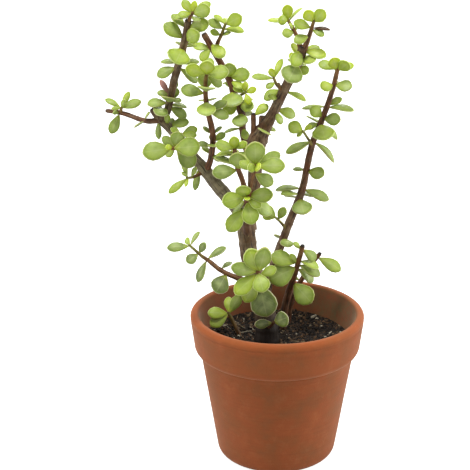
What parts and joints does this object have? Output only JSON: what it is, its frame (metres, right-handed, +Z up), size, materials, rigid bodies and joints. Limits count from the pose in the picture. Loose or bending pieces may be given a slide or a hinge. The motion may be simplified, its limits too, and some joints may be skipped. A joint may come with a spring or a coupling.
{
  "type": "potted bonsai plant",
  "caption": "Elephant bush bonsai with a bare old trunk, forked limbs and small round fleshy leaves, growing from dark soil in a round collared terracotta pot.",
  "frame": {"origin": "the middle of the whole plant's box on the ground, 31 mm left of the pot's axis", "axes": "+Z up, +X to the right in the picture, -Y towards the viewer"},
  "size_m": [0.1921, 0.13, 0.3531],
  "materials": {
    "terracotta": "matte",
    "soil": "matte",
    "bark": "matte",
    "leaf": "satin"
  },
  "bodies": {
    "root": {"pot": "terracotta", "soil": "soil", "trunk": "bark", "left_limb": "leaf", "middle_left_stem": "leaf", "right_limb": "leaf", "back_branch": "leaf", "front_shoot": "leaf", "right_stem": "leaf", "low_left_twig": "leaf", "base_rosette": "leaf", "foot_leaves": "leaf", "tall_cut_stem": "leaf", "short_cut_stem": "leaf", "ground_shoot": "leaf"}
  },
  "joints": []
}
